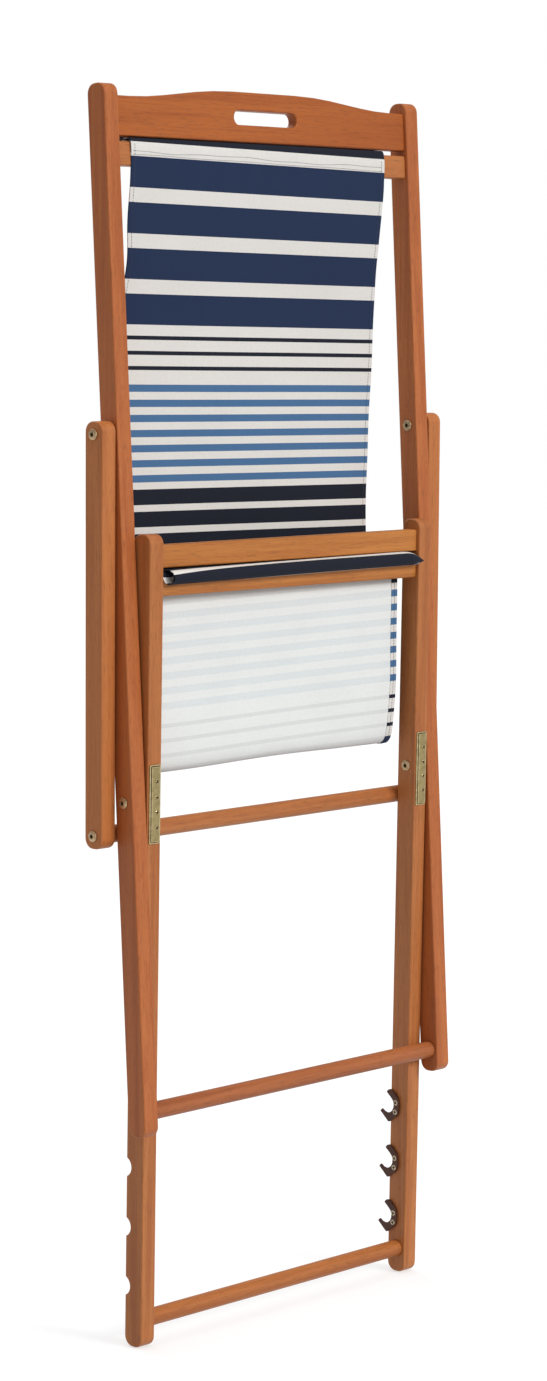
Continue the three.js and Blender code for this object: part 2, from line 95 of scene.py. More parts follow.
class Graph:
    """Adds nodes to a tree. An input is a socket, or a value for the node's own socket."""

    def __init__(self, tree):
        self.tree = tree

    def node(self, kind, inputs=None, **settings):
        made = self.tree.nodes.new(kind)
        for name, value in settings.items():
            setattr(made, name, value)
        for key, value in (inputs or {}).items():
            if isinstance(value, bpy.types.NodeSocket):
                self.tree.links.new(value, made.inputs[key])
            else:
                made.inputs[key].default_value = value
        return made

    def math(self, operation, a, b=0.0, clamp=False):
        made = self.node("ShaderNodeMath", {0: a, 1: b}, operation=operation, use_clamp=clamp)
        return made.outputs[0]

    def remap(self, value, low, high, to_low=0.0, to_high=1.0):
        inputs = {"Value": value, 1: low, 2: high, 3: to_low, 4: to_high}
        return self.node("ShaderNodeMapRange", inputs, interpolation_type="SMOOTHSTEP").outputs[0]

    def mix(self, factor, a, b, blend="MIX"):
        made = self.node("ShaderNodeMix", data_type="RGBA", blend_type=blend)
        for key, value in (("Factor", factor), ("A", a), ("B", b)):
            socket = next(s for s in made.inputs if s.name == key and s.enabled)
            if isinstance(value, bpy.types.NodeSocket):
                self.tree.links.new(value, socket)
            else:
                socket.default_value = value
        return next(s for s in made.outputs if s.enabled)

    def noise(self, vector, scale, detail=2.0, roughness=0.5):
        inputs = {"Vector": vector, "Scale": scale, "Detail": detail, "Roughness": roughness}
        return self.node("ShaderNodeTexNoise", inputs).outputs["Fac"]

    def bump(self, height, distance, strength=1.0):
        inputs = {"Height": height, "Distance": distance, "Strength": strength}
        return self.node("ShaderNodeBump", inputs).outputs["Normal"]


def new_material(name):
    """An empty node material: its graph, and a function that finishes it with a Principled shader."""
    material = bpy.data.materials.new(name)
    material.use_nodes = True
    material.node_tree.nodes.clear()
    graph = Graph(material.node_tree)
    shader = graph.node("ShaderNodeBsdfPrincipled")
    output = graph.node("ShaderNodeOutputMaterial")
    material.node_tree.links.new(shader.outputs[0], output.inputs["Surface"])

    def finish(**sockets):
        for key, value in sockets.items():
            name_of = key.replace("_", " ").title().replace("Ior", "IOR")
            if isinstance(value, bpy.types.NodeSocket):
                material.node_tree.links.new(value, shader.inputs[name_of])
            else:
                shader.inputs[name_of].default_value = value
        return material

    return graph, finish


def rgb(red, green, blue):
    return (red, green, blue, 1.0)


# ---- wood ----

TEAK = rgb(0.475, 0.158, 0.041)  # seat posts, sling rail and prop dowel
GOLDEN = rgb(0.530, 0.174, 0.044)  # prop arms
CHESTNUT = rgb(0.480, 0.135, 0.032)  # back posts
HONEY = rgb(0.520, 0.186, 0.036)  # knee slats
RUSSET = rgb(0.408, 0.099, 0.0125)  # head rail
UMBER = rgb(0.388, 0.112, 0.030)  # back frame's foot dowel
AMBER = rgb(0.447, 0.141, 0.031)  # seat frame's foot dowel


def wood(name, tone, grain, seed):
    """Oiled hardwood. grain is the axis that the grain runs along, 0 for X and 2 for Z."""
    graph, finish = new_material(name)
    place = graph.node("ShaderNodeTexCoord").outputs["Object"]
    shift = graph.node("ShaderNodeVectorMath", {0: place, 1: (seed * 0.37, seed * 0.71, seed * 0.53)})

    def stretched(across, along):
        scale = [across] * 3
        scale[grain] = along
        return graph.node(
            "ShaderNodeVectorMath", {0: shift.outputs[0], 1: tuple(scale)}, operation="MULTIPLY"
        ).outputs[0]

    board = graph.noise(stretched(9, 1.6), 1.0, 2)
    figure = graph.noise(stretched(75, 2.6), 1.0, 4, 0.6)
    streaks = graph.noise(stretched(420, 9), 1.0, 3, 0.65)
    pores = graph.noise(stretched(1500, 60), 1.0, 2, 0.6)
    pore_mask = graph.remap(pores, 0.56, 0.70)

    light = tuple(min(1, c * k) for c, k in zip(tone[:3], (1.14, 1.22, 1.35))) + (1,)
    dark = tuple(c * k for c, k in zip(tone[:3], (0.80, 0.70, 0.62))) + (1,)
    base = graph.mix(graph.remap(board, 0.3, 0.7), tone, light)
    base = graph.mix(graph.remap(figure, 0.42, 0.70, 0.0, 0.85), base, dark)
    base = graph.mix(graph.remap(streaks, 0.45, 0.72, 0.0, 0.60), base, dark)
    deep = tuple(c * 0.42 for c in tone[:3]) + (1,)
    base = graph.mix(graph.math("MULTIPLY", pore_mask, 0.65), base, deep)
    roughness = graph.math("ADD", graph.math("MULTIPLY", streaks, 0.22), 0.36)
    height = graph.math("SUBTRACT", graph.math("MULTIPLY", streaks, 0.5), pore_mask)
    return finish(
        base_color=base, roughness=roughness, normal=graph.bump(height, 0.00012, 0.6),
        coat_weight=0.06, coat_roughness=0.4, specular_ior_level=0.28,
    )


# ---- canvas ----

NAVY = rgb(0.0195, 0.0345, 0.0870)
CHALK = rgb(0.828, 0.804, 0.768)
SKY = rgb(0.080, 0.180, 0.350)
INK = rgb(0.0150, 0.0180, 0.0300)
UNDYED = rgb(0.905, 0.930, 0.920)
YARN = 0.00075  # distance between neighbouring yarns


def canvas(name, colour):
    """Plain-woven canvas, its yarns along the sheet's own two directions."""
    graph, finish = new_material(name)
    flat = graph.node("ShaderNodeUVMap", uv_map="flat").outputs[0]
    parts = graph.node("ShaderNodeSeparateXYZ", {0: flat})
    turns = 2 * math.pi / YARN
    warp = graph.math("SINE", graph.math("MULTIPLY", parts.outputs[0], turns))
    weft = graph.math("SINE", graph.math("MULTIPLY", parts.outputs[1], turns))
    weave = graph.math("MULTIPLY", warp, weft)
    slub = graph.noise(flat, 260, 3, 0.6)
    cloud = graph.noise(flat, 14, 3, 0.5)
    shade = tuple(c * 0.80 for c in colour[:3]) + (1,)
    base = graph.mix(graph.remap(weave, -1.0, 1.0, 0.30, 0.0), colour, shade)
    base = graph.mix(graph.remap(slub, 0.35, 0.75, 0.0, 0.24), base, shade)
    base = graph.mix(graph.remap(cloud, 0.35, 0.75, 0.0, 0.18), base, shade)
    height = graph.math("ADD", graph.math("MULTIPLY", weave, 0.5), slub)
    return finish(
        base_color=base, roughness=0.88, normal=graph.bump(height, 0.00010, 0.6),
        sheen_weight=0.03, sheen_roughness=0.5, specular_ior_level=0.12,
    )


def show_through(colour, share):
    """The pale side of a printed stripe: a little of its colour on undyed cloth."""
    return tuple(u * (1 - share) + c * share for u, c in zip(UNDYED[:3], colour[:3])) + (1,)


# ---- metal and plastic ----


def metal(name, colour, tarnish_and_painted_shade, roughness):
    """Metal that has darkened in random patches, with fine scratches."""
    graph, finish = new_material(name)
    place = graph.node("ShaderNodeTexCoord").outputs["Object"]
    patches = graph.noise(place, 190, 4, 0.6)
    brushed = graph.node("ShaderNodeVectorMath", {0: place, 1: (900, 900, 70)}, operation="MULTIPLY")
    scratches = graph.noise(brushed.outputs[0], 1.0, 2)
    base = graph.mix(graph.remap(patches, 0.40, 0.68, 0.0, 0.7), colour, tarnish_and_painted_shade)
    rough = graph.math("ADD", graph.math("MULTIPLY", patches, 0.35), roughness - 0.15)
    return finish(
        base_color=base, metallic=0.9, roughness=rough, normal=graph.bump(scratches, 0.00006, 0.5),
    )


def moulded_plastic(name, colour):
    graph, finish = new_material(name)
    place = graph.node("ShaderNodeTexCoord").outputs["Object"]
    grainy = graph.noise(place, 1500, 2)
    cloud = graph.noise(place, 60, 3)
    light = tuple(c * 1.5 for c in colour[:3]) + (1,)
    base = graph.mix(graph.remap(cloud, 0.35, 0.7, 0.0, 0.6), colour, light)
    return finish(
        base_color=base, roughness=0.48, normal=graph.bump(grainy, 0.00008, 0.5),
        specular_ior_level=0.25,
    )


def twisted_thread(name, colour):
    graph, finish = new_material(name)
    place = graph.node("ShaderNodeTexCoord").outputs["Object"]
    twist = graph.noise(place, 2600, 2)
    light = tuple(c * 1.8 for c in colour[:3]) + (1,)
    base = graph.mix(graph.remap(twist, 0.4, 0.7), colour, light)
    return finish(base_color=base, roughness=0.7, normal=graph.bump(twist, 0.00010, 0.6))


PLATE_BRASS = metal("plate_brass", rgb(0.36, 0.285, 0.135), rgb(0.24, 0.185, 0.080), 0.36)
# a paler brass: on the plates' rim and edge a painted highlight, on the pan heads their own brass
PALE_BRASS_AND_RIM_HIGHLIGHT = metal("pale_brass_and_painted_rim_highlight", rgb(0.56, 0.46, 0.25), rgb(0.36, 0.28, 0.13), 0.34)
BOLT_BRASS = metal("bolt_brass", rgb(0.50, 0.36, 0.21), rgb(0.30, 0.19, 0.10), 0.36)
SCREW_BRASS = metal("screw_brass", rgb(0.62, 0.52, 0.38), rgb(0.34, 0.26, 0.17), 0.34)
# a near-black for the recesses of heads and the plates' groove: painted shade where they fall dark
PAINTED_RECESS_SHADE = metal("tarnish_and_painted_shade", rgb(0.070, 0.048, 0.024), rgb(0.035, 0.024, 0.012), 0.55)
STEEL = metal("dark_steel", rgb(0.20, 0.20, 0.21), rgb(0.10, 0.10, 0.10), 0.45)
CLIP = moulded_plastic("brown_clip", rgb(0.084, 0.033, 0.020))
THREAD = twisted_thread("sewing_thread", rgb(0.050, 0.062, 0.090))

# ---- mesh helpers ----


def link(name, mesh, materials):
    piece = bpy.data.objects.new(name, mesh)
    bpy.context.scene.collection.objects.link(piece)
    for material in materials:
        mesh.materials.append(material)
    return piece


def mesh_from(name, points, faces, materials):
    mesh = bpy.data.meshes.new(name)
    mesh.from_pydata([tuple(p) for p in points], [], faces)
    mesh.validate()
    return link(name, mesh, materials)


def soften(piece, angle):
    """Smooth shading up to an angle, and true flats."""
    mesh = piece.data
    mesh.polygons.foreach_set("use_smooth", [True] * len(mesh.polygons))
    mesh.set_sharp_from_angle(angle=math.radians(angle))
    normals = piece.modifiers.new("true_flats", "WEIGHTED_NORMAL")
    normals.keep_sharp = True


def refined(node, material, body, slot_name):
    """A CAD node's own shape with its facets welded and smoothed, in a finished material."""
    bm = bmesh.new()
    bm.from_mesh(frame["nodes"][node].data)
    bmesh.ops.remove_doubles(bm, verts=bm.verts, dist=1e-6)
    bmesh.ops.dissolve_limit(bm, angle_limit=math.radians(0.5), verts=bm.verts, edges=bm.edges)
    mesh = bpy.data.meshes.new(node + "_finish")
    bm.to_mesh(mesh)
    bm.free()
    piece = link(node + "_finish", mesh, [material])
    soften(piece, 38)
    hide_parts(node)
    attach(piece, body)


# ---- wooden parts ----

SIDES = (("left", -1), ("right", 1))


def make_posts():
    seed = 1
    for kind, body, tone in (
        ("seat_post", "seat_frame", TEAK),
        ("back_post", "back_frame", CHESTNUT),
        ("prop_arm", "prop_frame", GOLDEN),
    ):
        for side, _ in SIDES:
            name = f"{kind}_{side}"
            refined(name, wood(name + "_wood", tone, 2, seed), body, "hardwood")
            seed += 1


def make_rails():
    for seed, (name, body, tone, slot_name) in enumerate((
        ("head_rail", "back_frame", RUSSET, "hardwood"),
        ("sling_rail", "back_frame", TEAK, "slat_wood"),
        ("knee_slat_upper", "seat_frame", HONEY, "slat_wood"),
        ("knee_slat_lower", "seat_frame", HONEY, "slat_wood"),
    ), 20):
        refined(name, wood(name + "_wood", tone, 0, seed), body, slot_name)


def turned_bar(name, x0, x1, centre, radius, material):
    """A round bar along X with softly turned ends."""
    sides = 56
    chamfer = 0.0012
    rings = [(x0, radius - chamfer), (x0 + chamfer, radius)]
    count = 24
    rings += [(x0 + (x1 - x0) * i / count, radius) for i in range(1, count)]
    rings += [(x1 - chamfer, radius), (x1, radius - chamfer)]
    points = []
    for x, r in rings:
        for k in range(sides):
            a = 2 * math.pi * k / sides
            points.append((x, centre[0] + r * math.cos(a), centre[1] + r * math.sin(a)))
    faces = [tuple(range(sides))]
    for i in range(len(rings) - 1):
        for k in range(sides):
            n = (k + 1) % sides
            faces.append((i * sides + k, (i + 1) * sides + k, (i + 1) * sides + n, i * sides + n))
    last = (len(rings) - 1) * sides
    faces.append(tuple(range(last + sides - 1, last - 1, -1)))
    piece = mesh_from(name, points, faces, [material])
    soften(piece, 50)
    return piece


def make_dowels():
    for seed, (node, body, tone) in enumerate((
        ("seat_foot_dowel", "seat_frame", AMBER),
        ("back_foot_dowel", "back_frame", UMBER),
        ("prop_dowel", "prop_frame", TEAK),
    ), 30):
        low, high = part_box(node)
        centre = ((low.y + high.y) / 2, (low.z + high.z) / 2)
        radius = (high.z - low.z) / 2
        material = wood(node + "_wood", tone, 0, seed)
        piece = turned_bar(node + "_turned", low.x, high.x, centre, radius, material)
        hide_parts(node)
        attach(piece, body)


make_posts()
make_rails()
make_dowels()

# ---- bolt heads, nuts and screws ----


def hexagon_distance(y, z):
    """Distance from the middle to the flat of a hexagon through the point (y, z)."""
    return max(abs(y * math.cos(a) + z * math.sin(a)) for a in (0, math.pi / 3, 2 * math.pi / 3))


def cross_distance(y, z):
    """Under 1 inside a cross recess whose arms are 1 wide and 3.4 long."""
    return min(max(abs(y) * 2, abs(z) / 1.7), max(abs(z) * 2, abs(y) / 1.7))


def smooth(t):
    t = max(0.0, min(1.0, t))
    return t * t * (3 - 2 * t)


def head_disc(name, radius, height, dome, recess, recess_size, recess_depth, material):
    """A fastener's head as a fine disc facing +X, its seat at x = 0 and its recess pressed in, painted near-black
    as shade.
    """
    rings, sides = 26, 48
    rounded = 0.12  # the share of the radius that rounds off at the rim
    points, faces = [], []

    def inside(y, z):
        return smooth((1.0 - recess(y / recess_size, z / recess_size)) / 0.12 + 0.5)

    for i in range(1, rings + 1):
        r = radius * i / rings
        for k in range(sides):
            a = 2 * math.pi * k / sides
            y, z = r * math.cos(a), r * math.sin(a)
            top = height - dome * (r / radius) ** 2
            top -= 0.35 * height * smooth((r / radius - 1 + rounded) / rounded)
            points.append((top - recess_depth * inside(y, z), y, z))
    middle = len(points)
    points.append((height - recess_depth, 0, 0))
    outer = (rings - 1) * sides
    rim = len(points)
    points += [(0, points[outer + k][1], points[outer + k][2]) for k in range(sides)]
    for k in range(sides):
        n = (k + 1) % sides
        faces.append((middle, k, n))
        for i in range(rings - 1):
            a, b = i * sides, (i + 1) * sides
            faces.append((a + k, b + k, b + n, a + n))
        faces.append((outer + k, rim + k, rim + n, outer + n))
    faces.append(tuple(range(rim + sides - 1, rim - 1, -1)))
    mesh = bpy.data.meshes.new(name)
    mesh.from_pydata(points, [], faces)
    mesh.validate()
    mesh.materials.append(material)
    mesh.materials.append(PAINTED_RECESS_SHADE)
    for face in mesh.polygons:
        face.use_smooth = True
        in_recess = inside(face.center.y, face.center.z) > 0.35
        # the faces inside the recess get the near-black: painted shade
        face.material_index = int(in_recess and face.normal.x > -0.5)
    mesh.set_sharp_from_angle(angle=math.radians(55))
    return mesh


BOLT_HEAD_HEIGHT = 0.0024
NUT_HEAD_HEIGHT = 0.0020
BOLT_HEAD = head_disc(
    "bolt_head", radius=0.0060, height=BOLT_HEAD_HEIGHT, dome=0.0005,
    recess=hexagon_distance, recess_size=0.0021, recess_depth=0.0018, material=BOLT_BRASS,
)
NUT_HEAD = head_disc(
    "nut_head", radius=0.0062, height=NUT_HEAD_HEIGHT, dome=0.0004,
    recess=hexagon_distance, recess_size=0.0021, recess_depth=0.0015, material=BOLT_BRASS,
)
PAN_HEAD = head_disc(
    "pan_head", radius=0.0026, height=0.0013, dome=0.0007,
    recess=cross_distance, recess_size=0.0012, recess_depth=0.0009, material=PALE_BRASS_AND_RIM_HIGHLIGHT,
)
FLAT_HEAD = head_disc(
    "flat_head", radius=0.0033, height=0.0008, dome=0.0003,
    recess=cross_distance, recess_size=0.00135, recess_depth=0.0006, material=SCREW_BRASS,
)


def place_head(name, mesh, place, outward, body, turn=0.0):
    """Put a head's seat at a place, facing outward, turned about its own axis by turn degrees."""
    piece = bpy.data.objects.new(name, mesh)
    bpy.context.scene.collection.objects.link(piece)
    facing = Vector(outward).to_track_quat("X", "Z").to_matrix().to_4x4()
    spin = Matrix.Rotation(math.radians(turn), 4, "X")
    piece.matrix_world = Matrix.Translation(place) @ facing @ spin
    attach(piece, body)
    return piece


def middle_of(node):
    """The middle of a node's box, and its two corners."""
    low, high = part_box(node)
    return (low + high) / 2, low, high


def fastener_body(node):
    bodies = frame["record"]["behaviour"]["bodies"]
    return next(b for b, nodes in bodies.items() if node in nodes)


def make_bolts_and_nuts():
    turn = 0
    for side, sign in SIDES:
        for kind in ("main_pivot", "prop_pivot", "prop_dowel"):
            node = f"{kind}_bolt_{side}"
            centre, low, high = middle_of(node)
            seat = (high.x if sign > 0 else low.x) - sign * BOLT_HEAD_HEIGHT
            turn += 17
            head = place_head(
                node + "_head", BOLT_HEAD, (seat, centre.y, centre.z), (sign, 0, 0),
                fastener_body(node), turn,
            )
            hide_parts(node)
        for kind in ("main_pivot", "prop_pivot"):
            node = f"{kind}_nut_{side}"
            centre, low, high = middle_of(node)
            seat = (low.x if sign > 0 else high.x) + sign * NUT_HEAD_HEIGHT
            turn += 23
            head = place_head(
                node + "_head", NUT_HEAD, (seat, centre.y, centre.z), (-sign, 0, 0),
                fastener_body(node), turn,
            )
            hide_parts(node)


PLATE_RIM_WIDTH = 0.0016
PLATE_CORNER = 0.0022  # radius of its corners
PLATE_COLUMNS, PLATE_ROWS = 44, 200


def plate_zone(inset):
    """Which material a place on a plate has: a rim with a painted highlight, a groove in painted shade, an edge
    with a painted highlight, the middle.
    """
    if inset < PLATE_RIM_WIDTH - 0.0003:
        return 1
    if inset < PLATE_RIM_WIDTH + 0.0005:
        return 2
    return 1 if inset < PLATE_RIM_WIDTH + 0.0012 else 0


def plate_front(width, height, thickness, rise):
    """The plate's front, row by row: its points, how far each is from the edge, and its faces."""
    points, insets, faces = [], [], []
    for j in range(PLATE_ROWS + 1):
        z = height * (j / PLATE_ROWS - 0.5)
        from_end = height / 2 - abs(z)
        cut = min(PLATE_CORNER, max(0.0, PLATE_CORNER - from_end))
        half = width / 2 - (PLATE_CORNER - math.sqrt(PLATE_CORNER**2 - cut**2))
        for i in range(PLATE_COLUMNS + 1):
            x = half * (2 * i / PLATE_COLUMNS - 1)
            inset = min(half - abs(x), from_end)
            up = rise * smooth((inset - PLATE_RIM_WIDTH) / 0.0012)
            crown = 0.0004 * smooth((inset - 0.003) / 0.004)
            edge = 0.0004 * (1 - smooth(inset / 0.0004))
            points.append((x, -(thickness + up + crown - edge), z))
            insets.append(inset)
    count = PLATE_COLUMNS + 1
    for j in range(PLATE_ROWS):
        for i in range(PLATE_COLUMNS):
            a = j * count + i
            faces.append((a, a + 1, a + count + 1, a + count))
    return points, insets, faces


def plate_outline():
    """The front's outermost points, once round."""
    count = PLATE_COLUMNS + 1
    outline = list(range(PLATE_COLUMNS))
    outline += [j * count + PLATE_COLUMNS for j in range(PLATE_ROWS)]
    outline += [PLATE_ROWS * count + i for i in range(PLATE_COLUMNS, 0, -1)]
    return outline + [j * count for j in range(PLATE_ROWS, 0, -1)]


def face_outwards(mesh):
    bm = bmesh.new()
    bm.from_mesh(mesh)
    bmesh.ops.recalc_face_normals(bm, faces=bm.faces)
    bm.to_mesh(mesh)
    bm.free()


def pivot_plate_mesh(name, width, height, thickness, rise):
    """A pressed plate facing -Y: a flat rim round a raised, slightly crowned middle."""
    points, insets, faces = plate_front(width, height, thickness, rise)
    outline = plate_outline()
    total = len(outline)
    back = len(points)
    points += [(points[v][0], 0.0, points[v][2]) for v in outline]
    for k in range(total):
        n = (k + 1) % total
        faces.append((outline[n], outline[k], back + k, back + n))
    faces.append(tuple(back + k for k in range(total - 1, -1, -1)))
    mesh = bpy.data.meshes.new(name)
    mesh.from_pydata(points, [], faces)
    mesh.validate()
    face_outwards(mesh)
    for material in (PLATE_BRASS, PALE_BRASS_AND_RIM_HIGHLIGHT, PAINTED_RECESS_SHADE):
        mesh.materials.append(material)
    for face in mesh.polygons:
        face.use_smooth = True
        if max(face.vertices) < len(insets):
            inset = sum(insets[v] for v in face.vertices) / 4
            # rim and edge get the paler brass as painted highlight, the groove the near-black as painted shade
            face.material_index = plate_zone(inset)
    mesh.set_sharp_from_angle(angle=math.radians(50))
    return mesh


def seat_tilt():
    """The seat frame's lean, from its foot dowel and its pivot."""
    foot = middle_of("seat_foot_dowel")[0]
    return math.atan2(foot.y - PIVOT.y, PIVOT.z - foot.z)


PLATE_SCREW_SHIFT = 0.0006  # the heads sit this far right of the CAD's screws
PLATE_SCREW_LIFT = 0.0003  # and start this far in front of them


def make_plates():
    tilt = seat_tilt()
    lean = Matrix.Rotation(tilt, 4, "X")
    mesh = pivot_plate_mesh("pressed_plate", width=0.016, height=0.085, thickness=0.0011, rise=0.0013)
    for side, _ in SIDES:
        node = f"pivot_plate_{side}"
        centre, low, high = middle_of(node)
        plate = bpy.data.objects.new(node + "_pressed", mesh)
        bpy.context.scene.collection.objects.link(plate)
        back = high.y - abs(math.sin(tilt)) * (high.z - low.z)
        middle_y = (back + high.y) / 2
        plate.matrix_world = Matrix.Translation((centre.x, middle_y, centre.z)) @ lean
        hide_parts(node)
        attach(plate, "seat_frame")
        for n in range(1, 5):
            screw = f"plate_screw_{side}_{n}"
            middle, low, high = middle_of(screw)
            place = (middle.x + PLATE_SCREW_SHIFT, low.y - PLATE_SCREW_LIFT, middle.z)
            head = place_head(
                screw + "_head", PAN_HEAD, place, (0, -1, -tilt), "seat_frame", 31 * n,
            )
            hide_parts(screw)


HOOK_SCREW_SINK = 0.0004  # how far behind the face of the CAD's screw its flat head starts


def make_hooks():
    for side, sign in SIDES:
        for i in range(1, 4):
            refined(f"hook_{side}_{i}", CLIP, "seat_frame", "hook_clip")
            for n in range(1, 3):
                screw = f"hook_screw_{side}_{i}_{n}"
                centre, low, high = middle_of(screw)
                seat = (low.x if sign > 0 else high.x) + sign * HOOK_SCREW_SINK
                head = place_head(
                    screw + "_head", FLAT_HEAD, (seat, centre.y, centre.z), (-sign, 0, 0),
                    "seat_frame", 41 * n + 13 * i,
                )
                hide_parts(screw)


def finish_hidden_steel():
    for name, node in frame["nodes"].items():
        if "washer" in name or name.endswith("_rod"):
            node.data.materials.clear()
            node.data.materials.append(STEEL)


make_bolts_and_nuts()
make_plates()
make_hooks()
finish_hidden_steel()

# ---- the sling's route: points behind (Y) and above (Z) the main pivot, in millimetres, ----
# ---- along the leaning axes of the frame that each stretch hangs in ----


def axes_up(up):
    """A frame's own rearward and upward directions, from the way its posts run."""
    up = up.normalized()
    return Vector((0, up.z, -up.y)), up


BACK_AXES = axes_up(PROP_PIVOT - PIVOT)
SEAT_AXES = axes_up(PIVOT - middle_of("seat_foot_dowel")[0])


def in_frame(axes, points):
    rear, up = axes
    return [PIVOT + rear * (y * MM) + up * (z * MM) for y, z in points]


CLOTH = 0.0008  # thickness
HEAD_FLAP = [(-9.9, 679), (-9.95, 690), (-8.7, 694.4), (-5, 695.5), (4, 695.5)]
HEAD_SLEEVE = [
    (7.2, 693.3), (11.4, 691.0), (15.7, 692.7), (17.3, 696.9), (15.6, 701.1), (11.4, 702.8),
    (7.2, 701.2), (4.2, 698.7),
]
BACK_LAYER = [
    (-1, 698.2), (-7, 698.1), (-9.9, 696.4), (-10.7, 692), (-10.7, 683), (-9.4, 667), (-6.8, 640),
    (1.4, 588), (12.4, 525), (21.2, 455), (29.6, 375), (35.8, 300), (40, 235), (42, 180), (42.5, 120),
]
LOOP = [(37, 45), (32, 32.5), (24, 26), (15.5, 28), (9.8, 38), (7.6, 60)]
SEAT_LAYER = [(6.6, 100), (6.6, 160), (6.9, 215), (6.95, 238), (6.0, 243.6), (3.4, 245.9)]
KNEE_SLEEVE = [
    (-3, 246.1), (-9, 246.0), (-14, 245.9), (-18.6, 244.2), (-21.4, 240.2), (-21.1, 235.6),
    (-18.4, 232.4), (-14.8, 231.5), (-11.8, 233.0), (-10.2, 236.4), (-9.6, 240.6), (-7, 243.1),
]
KNEE_FLAP = [(-2, 243.3), (3, 243.2), (5.5, 242.2), (6.05, 239), (6.05, 225)]


def smooth_line(points, steps=14):
    """A Catmull-Rom line through points, as an array of (Y, Z)."""
    p = np.array([(q.y, q.z) for q in points])
    p = np.vstack([2 * p[0] - p[1], p, 2 * p[-1] - p[-2]])
    line = []
    for a, b, c, d in zip(p, p[1:], p[2:], p[3:]):
        for t in np.linspace(0, 1, steps, endpoint=False):
            line.append(0.5 * (
                2 * b + (c - a) * t + (2 * a - 5 * b + 4 * c - d) * t**2
                + (3 * b - 3 * c + d - a) * t**3
            ))
    line.append(p[-2])
    return np.array(line)


BACK_ROUTE = in_frame(BACK_AXES, HEAD_FLAP + HEAD_SLEEVE + BACK_LAYER)
SEAT_ROUTE = in_frame(SEAT_AXES, LOOP + SEAT_LAYER + KNEE_SLEEVE + KNEE_FLAP)
ROUTE = smooth_line(BACK_ROUTE + SEAT_ROUTE)
LENGTHS = np.concatenate([[0], np.cumsum(np.linalg.norm(np.diff(ROUTE, axis=0), axis=1))])
BOTTOM = int(np.argmin(ROUTE[:, 1]))  # the route's point at the bottom of the low fold
KNEE_ROD_AXIS = in_frame(SEAT_AXES, [(-15.4, 236.5)])[0]


def length_where(test, points):
    """The distance along the route of the first of some points whose (Y, Z) passes a test."""
    return float(LENGTHS[next(i for i in points if test(*ROUTE[i]))])


HEM_TOP_Z = 1.2885
FIRST_BLUE_Z = 0.6942  # middle of the lowest pale blue stripe on the seat layer
NEAR_SLIT_Z = 0.83  # above this height the route is close to the slit
PAST_HEAD_ROD = 0.045  # from here on the route has been under the head rod
BARE_END = 0.006  # how much of the route is left without cloth
BACK_POINTS = range(int(np.searchsorted(LENGTHS, PAST_HEAD_ROD)), BOTTOM)
SEAT_POINTS = range(BOTTOM + 1, len(ROUTE))
HEM_TOP = length_where(lambda y, z: z < HEM_TOP_Z, BACK_POINTS)
FIRST_BLUE = length_where(lambda y, z: z > FIRST_BLUE_Z, SEAT_POINTS)
SLIT_FRONT = length_where(lambda y, z: z > NEAR_SLIT_Z and y < KNEE_ROD_AXIS.y + 0.006, SEAT_POINTS)
FLAT_LENGTH = float(LENGTHS[-1]) - BARE_END

# ---- the stripes: colour and width in millimetres, from the top of the head hem ----

STRIPES = (
    [("chalk", 15.0)]
    + [("navy", 32.6), ("chalk", 15.4)] * 3
    + [("navy", 32.6), ("chalk", 11.7)]
    + [("ink", 4.3), ("chalk", 11.8)] * 2
    + [("ink", 4.3), ("chalk", 15.4)]
    + [("sky", 7.8), ("chalk", 8.34)] * 6
    + [("sky", 7.8), ("chalk", 7.6)]
    + [("ink", 16.7), ("chalk", 7.2)] * 5
    + [("ink", 16.7)]
)
FIRST_BLUE_IN_PATTERN = sum(w for _, w in STRIPES[:STRIPES.index(("sky", 7.8))]) + 7.8 / 2
PERIOD = FIRST_BLUE - HEM_TOP - FIRST_BLUE_IN_PATTERN * MM  # each repeat covers the last one's end


def stripe_edges():
    """Every change of colour along the sling, as (where it starts, colour)."""
    edges = []
    for repeat in (-1, 0, 1, 2):
        at = HEM_TOP + repeat * PERIOD
        for colour, width in STRIPES:
            edges.append((at, colour))
            at += width * MM
    return edges


EDGES = stripe_edges()


def colour_at(along):
    return [colour for start, colour in EDGES if start <= along][-1]


# ---- the sling's surface ----


def ramp(value, start, length):
    """0 up to start, 1 from start + length on, and a straight rise between."""
    return np.clip((value - start) / length, 0, 1)


def ease(t):
    return t**2 * (3 - 2 * t)


def sleeve_share(s):
    """1 on the tube of cloth round the knee rod, 0 elsewhere."""
    return ease(ramp(s, SLIT_FRONT - 0.004, 0.006)) * (1 - ease(ramp(s, SLIT_FRONT + 0.046, 0.006)))


SLING_WIDTH = 0.390
LEFT_EDGE = -0.205
RIGHT_EDGE = LEFT_EDGE + SLING_WIDTH
SLEEVE_TIP = 0.020  # how far the knee sleeve reaches past the rest on the right


def edges_at(s):
    """The left and right edge: drawn in below the head hem and at the knee end, cut back at the
    knee sleeve's open left end."""
    sway = 0.0006 * np.sin(s * 23) + 0.0004 * np.sin(s * 61 + 1)
    waist = np.exp(-(((s - HEM_TOP - 0.125) / 0.033) ** 2))
    spread = ramp(s, 0.14, 0.10)
    drawn_in = ease(ramp(s, 0.45, 0.30))
    cut_back = ramp(s, SLIT_FRONT + 0.002, 0.005) * (1 - ramp(s, SLIT_FRONT + 0.026, 0.020))
    left = LEFT_EDGE + sway + 0.0043 * waist - 0.0010 * spread + 0.0065 * drawn_in + 0.0080 * cut_back
    right = RIGHT_EDGE + sway - 0.0020 * waist + 0.0018 * spread - 0.0020 * drawn_in
    return left, right + SLEEVE_TIP * sleeve_share(s)


